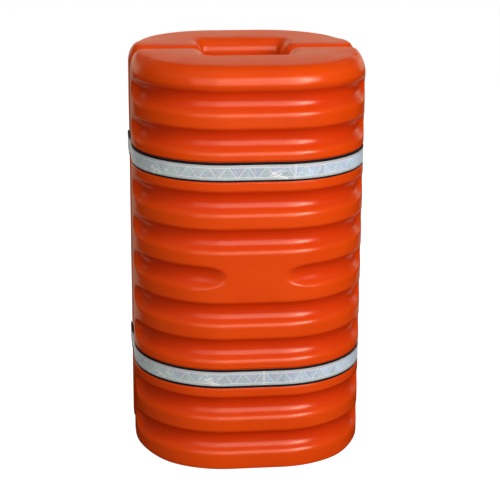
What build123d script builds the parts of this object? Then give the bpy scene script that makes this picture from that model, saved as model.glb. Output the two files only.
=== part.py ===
"""Column protector: two hollow ribbed halves held round a column by two reflective straps.

The part stands on the floor with +Z up. X runs along the seam between the halves, the front half
is on the -Y side, and the origin is the centre of the column passage at floor level.
"""
import os
from math import atan2, cos, degrees, pi, radians, sin, tan

from build123d import *

# One half, in millimetres: a 24 x 12 x 42 inch moulding with a channel for half an 8 inch column
WIDTH = 609.6
HALF_DEPTH = 304.8
HEIGHT = 1066.8
CHANNEL_WIDTH = 206.4
CHANNEL_DEPTH = 101.6
WALL = 3.2

# Clearance left between the two halves when the straps are closed
SEAM_GAP = 30.0

# Roundings of the moulding
CORNER_R = 239.0
SEAM_R = 40.0
MOUTH_R = 40.0
CHANNEL_R = 6.0
TOP_R = 36.0
FOOT_R = 6.0

# Horizontal ribs: valleys on a steady pitch, with wider crests where the straps lie
RIB_PITCH = 97.4
STRAP_CREST = 61.7
MIDDLE_VALLEY_Z = 529.0
VALLEY_R = 31.0
LIP_R = 21.0
FLANK_ANGLE = 50.0
LIP_END_ANGLE = 12.0
CUT_CLEARANCE = 2.5
SAME_LINE = 0.01

# Valleys run out of the surface on an outward arc beside the seam and beside the bare front panel
RUNOUT_R = 180.0
RUNOUT_ANGLE = 23.0
SIDE_STOP_ANGLE = 23.0
PANEL_STOP_ANGLE = 73.5

# Shallow seats that keep the straps at their height
SEAT_WIDTH = 53.0
SEAT_DEPTH = 2.5
SEAT_SLOPE = 45.0
SEAT_OVERRUN = 20.0

# Straps: woven webbing, reflective tape, and hook and loop pads
WEBBING_WIDTH = 50.8
WEBBING_T = 1.6
SEAT_CLEARANCE = 0.1
TAPE_WIDTH = 38.1
TAPE_T = 0.4
PAD_WIDTH = 46.0
PAD_T = 1.1
PAD_CLEARANCE = 0.3
HINGE_GAP = 0.4
TAPE_JOINT_GAP = 0.6
TAPE_HINGE_GAP = 1.4

# Where the strap lengths start and end, as distances from the seam's middle plane or corner angles
REAR_END_Y = 24.0
TAIL_ROOT_Y = 14.0
TAIL_FLAT_Y = 20.0
LOOP_START_Y = 27.0
HOOK_START_Y = 30.0
TAPE_END_Y = 58.0
TAIL_WRAP_ANGLE = 2.0
LOOP_WRAP_ANGLE = 1.6
HOOK_WRAP_ANGLE = 1.0
TAPE_START_ANGLE = 2.4

# Butt joints of the front tape, as distances from the front centre, and how far below the middle it is sewn
TAPE_JOINTS = {"upper": 95.0, "lower": 20.0}
TAPE_DROPS = {"upper": 1.2, "lower": 0.0}

# Vent in the channel wall that lets the moulding breathe
VENT_R = 5.0
VENT_Z = 60.0

# Worked out from the sizes above
HALF_WIDTH = WIDTH / 2
SEAM_Y = -SEAM_GAP / 2
FRONT_Y = SEAM_Y - HALF_DEPTH
CHANNEL_Y = SEAM_Y - CHANNEL_DEPTH
CORNER_Y = FRONT_Y + CORNER_R
FRONT_FLAT = HALF_WIDTH - CORNER_R
CORNER_LENGTH = CORNER_R * pi / 2
SIDE_START = FRONT_FLAT + CORNER_LENGTH
VALLEY_DEPTH = (VALLEY_R + LIP_R) * (1 - cos(radians(FLANK_ANGLE)))
VALLEYS = [MIDDLE_VALLEY_Z + row * RIB_PITCH + strap * STRAP_CREST
           for row, strap in ((4, 1), (3, 1), (2, 0), (1, 0), (-1, 0), (-2, 0), (-3, -1), (-4, -1))]
STRAP_Z = {name: MIDDLE_VALLEY_Z + side * (2.5 * RIB_PITCH + STRAP_CREST / 2)
           for name, side in (("upper", 1), ("lower", -1))}
WEBBING_IN = SEAT_CLEARANCE - SEAT_DEPTH
WEBBING_OUT = WEBBING_IN + WEBBING_T
WEBBING_MID = (WEBBING_IN + WEBBING_OUT) / 2
LOOP_OUT = WEBBING_OUT + PAD_T
HOOK_IN = LOOP_OUT + PAD_CLEARANCE
TAIL_IN = HOOK_IN + PAD_T
TAIL_MID = TAIL_IN + WEBBING_T / 2


def side_station(distance):
    """Station along the outline of a point on the side, a distance in front of the middle plane."""
    return SIDE_START - CORNER_Y - distance


def corner_station(angle):
    """Station along the outline of a point on the corner, an angle before the side begins."""
    return SIDE_START - CORNER_R * radians(angle)


def outline_point(station, offset):
    """Point of the front half's outline, measured from the front centre and set out from the skin."""
    along = abs(station)
    hand = 1 if station >= 0 else -1
    if along <= FRONT_FLAT:
        return station, FRONT_Y - offset
    if along >= SIDE_START:
        return hand * (HALF_WIDTH + offset), CORNER_Y + along - SIDE_START
    turn = (along - FRONT_FLAT) / CORNER_R
    radius = CORNER_R + offset
    return hand * (FRONT_FLAT + radius * sin(turn)), CORNER_Y - radius * cos(turn)


def outline_edges(start, end, offset):
    """Draw the outline between two stations into the line that is being built."""
    bends = [-SIDE_START, -FRONT_FLAT, FRONT_FLAT, SIDE_START]
    stops = [start] + [bend for bend in bends if start < bend < end] + [end]
    for first, last in zip(stops, stops[1:]):
        middle = (first + last) / 2
        ends = outline_point(first, offset), outline_point(last, offset)
        if FRONT_FLAT < abs(middle) < SIDE_START:
            ThreePointArc(ends[0], outline_point(middle, offset), ends[1])
        else:
            Line(*ends)


def outline_path(start, end, offset, z):
    """Wire along the front half's outline at one height."""
    with BuildLine(Plane.XY.offset(z)) as path:
        outline_edges(start, end, offset)
    return path.wire()


def valley_path(start, end, z):
    """Wire of a valley: the outline between two stations, veering out of the surface at both ends."""
    with BuildLine(Plane.XY.offset(z)) as path:
        outline_edges(start, end, 0)
        drawn = path.wire()
        JernArc(drawn @ 0, -(drawn % 0), RUNOUT_R, RUNOUT_ANGLE)
        JernArc(drawn @ 1, drawn % 1, RUNOUT_R, -RUNOUT_ANGLE)
    return path.wire()


def section_plane(path):
    """Plane square to a path's start, with its X axis up and its Y axis out of the front half."""
    return Plane(path @ 0, x_dir=(0, 0, 1), z_dir=path % 0)


def valley_cutter(start, end, z, inset):
    """Solid that cuts one valley: a round trough with rounded lips, set in by the wall for the cavity."""
    flank, lip_end = radians(FLANK_ANGLE), radians(LIP_END_ANGLE)
    trough_r, lip_r = VALLEY_R + inset, LIP_R - inset
    flank_x, flank_y = trough_r * sin(flank), VALLEY_R - VALLEY_DEPTH - trough_r * cos(flank)
    lip_x = (VALLEY_R + LIP_R) * sin(flank) - lip_r * sin(lip_end)
    lip_y = lip_r * cos(lip_end) - LIP_R
    rim_x = lip_x + (CUT_CLEARANCE - lip_y) / tan(lip_end)
    path = valley_path(start, end, z)
    with BuildPart() as cutter:
        with BuildSketch(section_plane(path)):
            with BuildLine():
                trough = ThreePointArc((-flank_x, flank_y), (0, -VALLEY_DEPTH - inset), (flank_x, flank_y))
                upper = TangentArc(trough @ 1, (lip_x, lip_y), tangent=trough % 1)
                lower = TangentArc(trough @ 0, (-lip_x, lip_y), tangent=-(trough % 0))
                Polyline(upper @ 1, (rim_x, CUT_CLEARANCE), (-rim_x, CUT_CLEARANCE), lower @ 1)
            make_face()
        sweep(path=path)
    return cutter.part


def seat_cutter(z, inset):
    """Solid that cuts one strap seat right round a half, out through both ends at the seam."""
    slope = radians(SEAT_SLOPE)
    floor = SEAT_WIDTH / 2 + inset * tan(slope / 2)
    rim = floor + (CUT_CLEARANCE + SEAT_DEPTH + inset) / tan(slope)
    reach = side_station(-SEAT_OVERRUN)
    path = outline_path(-reach, reach, 0, z)
    with BuildPart() as cutter:
        with BuildSketch(section_plane(path)):
            with BuildLine():
                Polyline((-floor, -SEAT_DEPTH - inset), (floor, -SEAT_DEPTH - inset),
                         (rim, CUT_CLEARANCE), (-rim, CUT_CLEARANCE), close=True)
            make_face()
        sweep(path=path)
    return cutter.part


def plan_corners(plan, y):
    """Corners of a plan that lie on one line across the half, from left to right."""
    return plan.vertices().filter_by_position(Axis.Y, y - SAME_LINE, y + SAME_LINE).sort_by(Axis.X)


def half_form(inset):
    """Closed form of the front half, set in from the skin: 0 gives the skin, WALL gives the cavity."""
    side, wall = HALF_WIDTH - inset, CHANNEL_WIDTH / 2 + inset
    seam, back, front = SEAM_Y - inset, CHANNEL_Y - inset, FRONT_Y + inset
    whole = corner_station(SIDE_STOP_ANGLE)
    panel = corner_station(PANEL_STOP_ANGLE)
    cutters = [valley_cutter(-whole, whole, z, inset) for z in VALLEYS]
    cutters += [valley_cutter(start, end, MIDDLE_VALLEY_Z, inset)
                for start, end in ((-whole, -panel), (panel, whole))]
    cutters += [seat_cutter(z, inset) for z in STRAP_Z.values()]
    with BuildPart() as form:
        with BuildSketch(Plane.XY.offset(inset)) as plan:
            with BuildLine():
                Polyline((-side, seam), (-wall, seam), (-wall, back), (wall, back), (wall, seam),
                         (side, seam), (side, front), (-side, front), close=True)
            make_face()
            fillet(plan_corners(plan, front), CORNER_R - inset)
            fillet(plan_corners(plan, back), CHANNEL_R + inset)
            fillet(plan_corners(plan, seam)[1:3], MOUTH_R - inset)
            fillet(plan_corners(plan, seam)[::3], SEAM_R - inset)
        extrude(amount=HEIGHT - 2 * inset)
        fillet(form.faces().sort_by(Axis.Z)[-1].outer_wire().edges(), TOP_R - inset)
        fillet(form.faces().sort_by(Axis.Z)[0].outer_wire().edges(), FOOT_R - inset)
        for cutter in cutters:
            add(cutter, mode=Mode.SUBTRACT)
    return form.part


def strip(path, width, thickness):
    """Flat strip of strap material, centred on a path and standing on edge."""
    with BuildPart() as length:
        with BuildSketch(section_plane(path)):
            Rectangle(width, thickness)
        sweep(path=path)
    return length.part


def outline_strip(start, end, z, width, inner, thickness):
    """Strip that follows the outline between two stations, its inner face set out from the skin."""
    return strip(outline_path(start, end, inner + thickness / 2, z), width, thickness)


def tail_path(rise, z):
    """Wire along a closing tail, set out from its middle: it steps out over the end of the rear length."""
    root = -(HALF_WIDTH + WEBBING_MID), HINGE_GAP - TAIL_ROOT_Y
    step = TAIL_MID - WEBBING_MID
    run = TAIL_FLAT_Y - root[1]
    radius = (step ** 2 + run ** 2) / (4 * step)
    swing = 2 * degrees(atan2(step, run))
    with BuildLine(Plane.XY.offset(z)) as path:
        outward = JernArc((root[0] - rise, root[1]), (0, 1), radius - rise, swing)
        back = JernArc(outward @ 1, outward % 1, radius + rise, -swing)
        side = Line(back @ 1, ((back @ 1).X, -CORNER_Y))
        JernArc(side @ 1, (0, 1), CORNER_R + TAIL_MID + rise, -TAIL_WRAP_ANGLE)
    return path.wire()


def save(builder, name):
    """Name a finished piece and write it as its own file."""
    builder.part.label = name
    export_step(builder.part, f"parts/{name}.step")


os.makedirs("parts", exist_ok=True)

# Halves: one hollow moulding, used twice and turned half a turn for the rear
skin_form = half_form(0)
cavity_form = half_form(WALL)
with BuildPart() as front_shell:
    add(skin_form)
    add(cavity_form, mode=Mode.SUBTRACT)
    with Locations(Plane((0, CHANNEL_Y, VENT_Z), z_dir=(0, 1, 0))):
        Hole(VENT_R, depth=2 * WALL)
save(front_shell, "front_shell")

with BuildPart() as rear_shell:
    add(front_shell.part.rotate(Axis.Z, 180))
save(rear_shell, "rear_shell")

# Straps: the same set of pieces at two heights
for name, z in STRAP_Z.items():
    joint = TAPE_JOINTS[name]
    tape_z = z - TAPE_DROPS[name]

    with BuildPart() as front_webbing:
        add(outline_strip(-side_station(TAIL_ROOT_Y + HINGE_GAP), side_station(HINGE_GAP), z,
                          WEBBING_WIDTH, WEBBING_IN, WEBBING_T))
    save(front_webbing, f"{name}_front_webbing")

    with BuildPart() as rear_webbing:
        add(outline_strip(-side_station(REAR_END_Y), side_station(HINGE_GAP), z,
                          WEBBING_WIDTH, WEBBING_IN, WEBBING_T).mirror(Plane.XZ))
    save(rear_webbing, f"{name}_rear_webbing")

    with BuildPart() as closing_tail:
        add(strip(tail_path(0, z), WEBBING_WIDTH, WEBBING_T))
    save(closing_tail, f"{name}_closing_tail")

    with BuildPart() as loop_pad:
        add(outline_strip(-side_station(LOOP_START_Y), -corner_station(LOOP_WRAP_ANGLE), z,
                          PAD_WIDTH, WEBBING_OUT, PAD_T).mirror(Plane.XZ))
    save(loop_pad, f"{name}_loop_pad")

    with BuildPart() as hook_pad:
        add(outline_strip(-side_station(HOOK_START_Y), -corner_station(HOOK_WRAP_ANGLE), z,
                          PAD_WIDTH, HOOK_IN, PAD_T).mirror(Plane.XZ))
    save(hook_pad, f"{name}_hook_pad")

    with BuildPart() as tail_tape:
        add(strip(tail_path((WEBBING_T + TAPE_T) / 2, tape_z), TAPE_WIDTH, TAPE_T))
        split(bisect_by=Plane((0, TAPE_HINGE_GAP - TAIL_ROOT_Y, 0), z_dir=(0, 1, 0)), keep=Keep.TOP)
    save(tail_tape, f"{name}_tail_tape")

    with BuildPart() as front_tape_left:
        add(outline_strip(-side_station(TAIL_ROOT_Y + TAPE_HINGE_GAP), joint - TAPE_JOINT_GAP / 2, tape_z,
                          TAPE_WIDTH, WEBBING_OUT, TAPE_T))
    save(front_tape_left, f"{name}_front_tape_left")

    with BuildPart() as front_tape_right:
        add(outline_strip(joint + TAPE_JOINT_GAP / 2, side_station(TAPE_END_Y), tape_z,
                          TAPE_WIDTH, WEBBING_OUT, TAPE_T))
    save(front_tape_right, f"{name}_front_tape_right")

    with BuildPart() as rear_tape:
        add(outline_strip(-corner_station(TAPE_START_ANGLE), side_station(TAPE_END_Y), tape_z,
                          TAPE_WIDTH, WEBBING_OUT, TAPE_T).mirror(Plane.XZ))
    save(rear_tape, f"{name}_rear_tape")
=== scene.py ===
"""Column protector: the finished look of two moulded halves and their two reflective straps.

Every length is in metres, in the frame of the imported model: +Z is up along the column, X runs along the
seam between the halves, and the front half is on the -Y side.
"""
from __future__ import annotations

import logging
import math
from dataclasses import dataclass, replace
from enum import Enum
from typing import Callable, Sequence

import bpy
import numpy as np
from mathutils import Matrix, Vector

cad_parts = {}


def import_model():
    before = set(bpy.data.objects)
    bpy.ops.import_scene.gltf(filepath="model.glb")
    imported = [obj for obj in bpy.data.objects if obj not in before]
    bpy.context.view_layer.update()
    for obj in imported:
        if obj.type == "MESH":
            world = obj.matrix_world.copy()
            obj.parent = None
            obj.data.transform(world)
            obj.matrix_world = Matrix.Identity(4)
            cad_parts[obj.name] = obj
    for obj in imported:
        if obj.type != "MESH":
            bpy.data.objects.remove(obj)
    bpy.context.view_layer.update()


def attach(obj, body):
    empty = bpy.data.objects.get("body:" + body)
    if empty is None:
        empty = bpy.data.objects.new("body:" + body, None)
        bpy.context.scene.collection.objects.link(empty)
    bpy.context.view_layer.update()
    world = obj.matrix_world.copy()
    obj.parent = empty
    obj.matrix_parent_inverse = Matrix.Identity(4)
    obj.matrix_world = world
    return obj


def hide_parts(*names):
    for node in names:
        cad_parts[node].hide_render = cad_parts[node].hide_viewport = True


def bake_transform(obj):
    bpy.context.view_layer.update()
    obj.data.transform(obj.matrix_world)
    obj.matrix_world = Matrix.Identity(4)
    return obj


LOG = logging.getLogger("column_protector")
Colour = tuple[float, float, float, float]
# Names of the map and of the numbers held at the vertices.
UV_NAME = "strap"
END_GAP = "end_gap"
CREASE = "crease"
VALLEY_SHADE = "hollow"
# Angle past which an edge is sharp, height of the tallest crease, and a number that counts as none.
SHARP_ANGLE = math.radians(50)
CREASE_HEIGHT = 0.0005
TINY = 1e-9
# A stitch, at five places along it: girth and rise of the thread, both in thread radii.
STITCH_GIRTH = (0.45, 0.95, 1.0, 0.95, 0.45)
STITCH_RISE = (-1.3, 0.25, 0.65, 0.25, -1.3)
STITCH_SIDES = 6


class Half(Enum):
    """The two halves, with the sign that turns a point of the front half to its place."""

    FRONT = 1.0
    REAR = -1.0


class Level(Enum):
    """The two straps, with the height of the middle of each."""

    UPPER = 0.80335
    LOWER = 0.25465


def smooth_floor(value: np.ndarray, soft: np.ndarray | float) -> np.ndarray:
    """Larger of a value and zero, with the corner rounded by a parabola.

    Args:
        value: numbers to hold above zero.
        soft: half-width of the rounding, zero or more.

    Returns:
        The value where it is above soft, zero below -soft, and (value + soft)^2 / (4 soft) between.
    """
    width = np.maximum(soft, TINY)
    blend = (value + width) ** 2 / (4 * width)
    return np.where(value >= width, value, np.where(value <= -width, 0.0, blend))


def ease(value: np.ndarray, low: float, high: float) -> np.ndarray:
    """Smooth rise from 0 at low to 1 at high, by 3t^2 - 2t^3.

    Args:
        value: numbers to map.
        low: where the rise starts.
        high: where it ends.

    Returns:
        The share of the rise at each number.
    """
    share = np.clip((value - low) / (high - low), 0.0, 1.0)
    return share * share * (3 - 2 * share)


@dataclass(frozen=True)
class Move:
    """Step of a route: a straight run, or an arc where it turns.

    Attributes:
        length: distance along the step.
        turn: angle turned to the left over the step, in radians.
    """

    length: float
    turn: float = 0.0


def bend(radius: float, degrees: float) -> Move:
    """Arc of a radius through an angle, which is positive to the left."""
    return Move(radius * math.radians(abs(degrees)), math.radians(degrees))


class Route:
    """Flat curve of straight runs and arcs that keeps the object's inside on its left."""

    def __init__(self, start: Sequence[float], heading: float, moves: Sequence[Move]) -> None:
        """Lay the moves end to end.

        Args:
            start: first point, in plan.
            heading: first direction, in radians from +X.
            moves: the steps in order.
        """
        self.moves = list(moves)
        self.lengths = np.array([move.length for move in moves])
        self.turns = np.array([move.turn for move in moves])
        self.starts = np.concatenate(([0.0], np.cumsum(self.lengths)))
        self.headings = heading + np.concatenate(([0.0], np.cumsum(self.turns)))[:-1]
        chords = self.chord(self.headings, self.turns, self.lengths)
        self.corners = np.array(start) + np.concatenate((np.zeros((1, 2)), np.cumsum(chords, axis=0)))[:-1]

    @property
    def length(self) -> float:
        """Whole length of the route."""
        return float(self.starts[-1])

    @staticmethod
    def chord(heading: np.ndarray, turn: np.ndarray, length: np.ndarray) -> np.ndarray:
        """Straight step from the start to the end of an arc.

        Args:
            heading: direction at the start.
            turn: angle turned.
            length: distance along the arc.

        Returns:
            length * sin(turn / 2) / (turn / 2) along the middle direction: the run itself at no turn.
        """
        middle = heading + turn / 2
        reach = length * np.sinc(turn / (2 * np.pi))
        return np.stack((reach * np.cos(middle), reach * np.sin(middle)), axis=-1)

    def at(self, stations: np.ndarray) -> tuple[np.ndarray, np.ndarray]:
        """Places along the route.

        Args:
            stations: distances from the start, in an array of any shape.

        Returns:
            The points and the directions out of the object, each with a last axis of two.
        """
        index = np.clip(np.searchsorted(self.starts, stations, side="right") - 1, 0, len(self.lengths) - 1)
        along = stations - self.starts[index]
        turn = self.turns[index] * along / self.lengths[index]
        facing = self.headings[index] + turn
        points = self.corners[index] + self.chord(self.headings[index], turn, along)
        return points, np.stack((np.sin(facing), -np.cos(facing)), axis=-1)

    def part(self, first: float, last: float, offset: float = 0.0, extra: Sequence[Move] = ()) -> Route:
        """Part of the route, set out from it, in which an arc grows by its turn times the offset.

        Args:
            first: station where the part starts.
            last: station where it ends.
            offset: distance out of the object.
            extra: moves that go on from the end.

        Returns:
            The new route.
        """
        shares = np.clip((last - self.starts[:-1]) / self.lengths, 0, 1)
        shares = shares - np.clip((first - self.starts[:-1]) / self.lengths, 0, 1)
        moves = [Move(share * (move.length + move.turn * offset), share * move.turn)
                 for share, move in zip(shares, self.moves) if share > TINY]
        point, outward = self.at(np.array(first))
        heading = math.atan2(outward[0], -outward[1])
        return Route(point + offset * outward, heading, [*moves, *extra])

    def divide(self, spacing: Sequence[float]) -> np.ndarray:
        """Stations that divide every move evenly, with the end of the last move left out.

        Args:
            spacing: largest gap on each move.

        Returns:
            The stations in order.
        """
        spans = zip(self.starts, self.starts[1:], spacing)
        return np.concatenate([np.linspace(low, high, max(1, math.ceil((high - low) / gap)), endpoint=False)
                               for low, high, gap in spans])


class Term:
    """Number over a surface, held as a node socket, so that node maths reads as arithmetic."""

    def __init__(self, bench: Bench, socket: bpy.types.NodeSocket) -> None:
        """Wrap a socket of a bench's tree."""
        self.bench = bench
        self.socket = socket

    def __add__(self, other: Term | float) -> Term:
        """Sum."""
        return self.bench.math("ADD", self, other)

    def __sub__(self, other: Term | float) -> Term:
        """Difference."""
        return self.bench.math("SUBTRACT", self, other)

    def __rsub__(self, other: float) -> Term:
        """Difference from a plain number."""
        return self.bench.math("SUBTRACT", other, self)

    def __mul__(self, other: Term | float) -> Term:
        """Product."""
        return self.bench.math("MULTIPLY", self, other)

    def __abs__(self) -> Term:
        """Size without sign."""
        return self.bench.math("ABSOLUTE", self)

    def __pow__(self, other: float) -> Term:
        """Power."""
        return self.bench.math("POWER", self, other)

    __radd__ = __add__
    __rmul__ = __mul__

    def sin(self) -> Term:
        """Sine of an angle in radians."""
        return self.bench.math("SINE", self)

    def floor(self) -> Term:
        """Whole part."""
        return self.bench.math("FLOOR", self)

    def larger(self, other: Term | float) -> Term:
        """Larger of two numbers."""
        return self.bench.math("MAXIMUM", self, other)

    def zigzag(self, height: float) -> Term:
        """Rise and fall between zero and a height."""
        return self.bench.math("PINGPONG", self, height)

    def rise(self, low: float, high: float) -> Term:
        """Smooth rise from 0 at low to 1 at high, or a fall where low is the larger."""
        settings = {"interpolation_type": "SMOOTHSTEP"}
        if low <= high:
            inputs = {"Value": self, "From Min": low, "From Max": high, "To Min": 0.0, "To Max": 1.0}
        else:
            inputs = {"Value": self, "From Min": high, "From Max": low, "To Min": 1.0, "To Max": 0.0}
        return self.bench.term("ShaderNodeMapRange", settings, inputs, "Result")


class Bench:
    """Node tree of a material or world, with one way to add any node."""

    def __init__(self, tree: bpy.types.NodeTree) -> None:
        """Clear a tree for new nodes."""
        self.tree = tree
        tree.nodes.clear()

    @staticmethod
    def socket(sockets: bpy.types.bpy_prop_collection, key: str) -> bpy.types.NodeSocket:
        """Socket of that identifier or name."""
        return next(item for item in sockets if key in (item.identifier, item.name))

    def feed(self, socket: bpy.types.NodeSocket, value: object) -> None:
        """Link a term to a socket, or set a plain value on it."""
        if isinstance(value, Term):
            self.tree.links.new(value.socket, socket)
        else:
            socket.default_value = value

    def add(self, kind: str, settings: dict | None = None, inputs: dict | None = None) -> bpy.types.Node:
        """Add a node.

        Args:
            kind: the node's type.
            settings: its own options, set first; stops holds a ramp's places and colours.
            inputs: values or terms by socket name.

        Returns:
            The node.
        """
        node = self.tree.nodes.new(kind)
        for key, value in (settings or {}).items():
            if key == "stops":
                self.set_stops(node.color_ramp, value)
            else:
                setattr(node, key, value)
        for key, value in (inputs or {}).items():
            self.feed(self.socket(node.inputs, key), value)
        return node

    @staticmethod
    def set_stops(ramp: bpy.types.ColorRamp, stops: Sequence[tuple[float, Sequence[float]]]) -> None:
        """Give a ramp its places and colours."""
        while len(ramp.elements) < len(stops):
            ramp.elements.new(1.0)
        for element, (place, colour) in zip(ramp.elements, stops):
            element.position = place
            element.color = colour

    def term(self, kind: str, settings: dict | None = None, inputs: dict | None = None,
             output: str = "Fac") -> Term:
        """Add a node and hold one of its outputs.

        Args:
            kind: the node's type.
            settings: its own options.
            inputs: values or terms by socket name.
            output: name of the socket to hold.

        Returns:
            The output as a term.
        """
        return Term(self, self.socket(self.add(kind, settings, inputs).outputs, output))

    def math(self, operation: str, *values: Term | float) -> Term:
        """Add a Math node over terms and plain numbers."""
        node = self.add("ShaderNodeMath", {"operation": operation})
        for socket, value in zip(node.inputs, values):
            self.feed(socket, value)
        return Term(self, node.outputs[0])

    def place(self) -> Term:
        """Point in the object's own frame."""
        return self.term("ShaderNodeTexCoord", output="Object")

    def strip(self) -> tuple[Term, Term]:
        """Distance along and across a strap, from its own map."""
        along, across, _ = self.axes(self.term("ShaderNodeUVMap", {"uv_map": UV_NAME}, None, "UV"))
        return along, across

    def axes(self, point: Term) -> list[Term]:
        """The three parts of a point."""
        split = self.add("ShaderNodeSeparateXYZ", None, {"Vector": point})
        return [Term(self, socket) for socket in split.outputs]

    def layer(self, name: str) -> Term:
        """Number held at the vertices under a name."""
        return self.term("ShaderNodeAttribute", {"attribute_name": name})

    def noise(self, point: Term, scale: float, detail: float = 2.0, rough: float = 0.5) -> Term:
        """Cloudy noise between 0 and 1."""
        inputs = {"Vector": point, "Scale": scale, "Detail": detail, "Roughness": rough}
        return self.term("ShaderNodeTexNoise", None, inputs)

    def blend(self, share: Term | float, first: object, second: object, kind: str = "MIX") -> Term:
        """Colour between two colours."""
        settings = {"data_type": "RGBA", "blend_type": kind}
        inputs = {"Factor_Float": share, "A_Color": first, "B_Color": second}
        return self.term("ShaderNodeMix", settings, inputs, "Result_Color")

    def bump(self, height: Term, depth: float, strength: float) -> Term:
        """Normal of a relief of that depth."""
        inputs = {"Height": height, "Distance": depth, "Strength": strength}
        return self.term("ShaderNodeBump", None, inputs, "Normal")


def new_bench(name: str) -> tuple[bpy.types.Material, Bench]:
    """Material of a name and its empty bench."""
    material = bpy.data.materials.new(name)
    material.use_nodes = True
    return material, Bench(material.node_tree)


def rgb(red: float, green: float, blue: float) -> Colour:
    """Opaque colour in linear light."""
    return red, green, blue, 1.0


@dataclass(frozen=True)
class Finish:
    """Look of a material, told by what feeds its Principled surface."""

    # Name of the material.
    NAME = ""

    def inputs(self, bench: Bench) -> dict[str, object]:
        """Values and terms of the surface, by socket name."""
        raise NotImplementedError

    def material(self) -> bpy.types.Material:
        """Build the material."""
        material, bench = new_bench(self.NAME)
        shader = bench.term("ShaderNodeBsdfPrincipled", None, self.inputs(bench), "BSDF")
        bench.add("ShaderNodeOutputMaterial", None, {"Surface": shader})
        return material


@dataclass(frozen=True)
class MouldedPlastic(Finish):
    """Satin orange polyethylene with a fine grain and soft clouding; painted valley shade; dust and painted
    sheen on top.

    Attributes:
        body: main colour.
        deep: colour of the clouds in the pigment.
        hollow: colour of the painted shade in the valleys.
        dust: colour of the dust and painted sheen on the flat top.
        tint: colour of the gloss.
        gloss: level of the gloss.
        rough: roughness of the skin.
        patchy: how much rougher its dull patches are.
        dull: how much rougher the flat top is.
        clouds: clouds to the metre.
        patches: dull patches to the metre.
        ripples: ripples to the metre.
        smears: smears of that dust and sheen to the metre.
        grain: size of the grain.
        grain_share: depth of the grain beside that of the ripples.
        relief: depth of the ripples.
        top: height at which the dust and painted sheen are whole.
        top_fade: height over which it sets in.
        arms: distances from the seam between which it thins.
        thinning: share of it that is lost there.
        dust_and_sheen: largest share of the dust and painted sheen.
        shading: largest share of that painted valley shade.
    """

    NAME = "moulded_plastic"
    # Noise between which the clouds and the smears set in.
    CLOUDED = (0.35, 0.70)
    SMEARED = (0.05, 0.95)

    body: Colour = rgb(0.735, 0.059, 0.0008)
    deep: Colour = rgb(0.700, 0.052, 0.0006)
    hollow: Colour = rgb(0.580, 0.013, 0.0001)
    dust: Colour = rgb(0.60, 0.38, 0.29)
    tint: Colour = rgb(1.0, 0.76, 0.60)
    gloss: float = 0.62
    rough: float = 0.215
    patchy: float = 0.06
    dull: float = 0.10
    clouds: float = 7.0
    patches: float = 38.0
    ripples: float = 24.0
    smears: float = 11.0
    grain: float = 0.0011
    grain_share: float = 0.10
    relief: float = 0.0007
    top: float = 1.0655
    top_fade: float = 0.004
    arms: tuple[float, float] = (0.12, 0.22)
    thinning: float = 0.6
    dust_and_sheen: float = 0.30
    shading: float = 0.8

    def inputs(self, bench: Bench) -> dict[str, object]:
        """Values and terms of the surface, by socket name."""
        point = bench.place()
        _, depth, high = bench.axes(point)
        cloud = bench.noise(point, self.clouds, detail=4.0).rise(*self.CLOUDED)
        patch = bench.noise(point, self.patches, detail=3.0)
        relief = bench.noise(point, 1 / self.grain) * self.grain_share + bench.noise(point, self.ripples)
        flat = high.rise(self.top - self.top_fade, self.top)
        thinned = 1 - self.thinning * abs(depth).rise(*self.arms)
        # Dust and a painted sheen: a pale film on the flat top, thinner away from the seam.
        dust_and_sheen = bench.noise(point, self.smears, detail=3.0).rise(*self.SMEARED) * flat * thinned
        base = bench.blend(cloud, self.body, self.deep)
        # Painted shade: the valleys take a darker colour by the shade share kept at each vertex.
        base = bench.blend(bench.layer(VALLEY_SHADE) * self.shading, base, self.hollow)
        return {
            "Base Color": bench.blend(dust_and_sheen * self.dust_and_sheen, base, self.dust),
            "Roughness": self.rough + self.patchy * patch + self.dull * flat,
            "Specular IOR Level": self.gloss,
            "Specular Tint": self.tint,
            "Normal": bench.bump(relief, self.relief, strength=0.55),
        }


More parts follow.
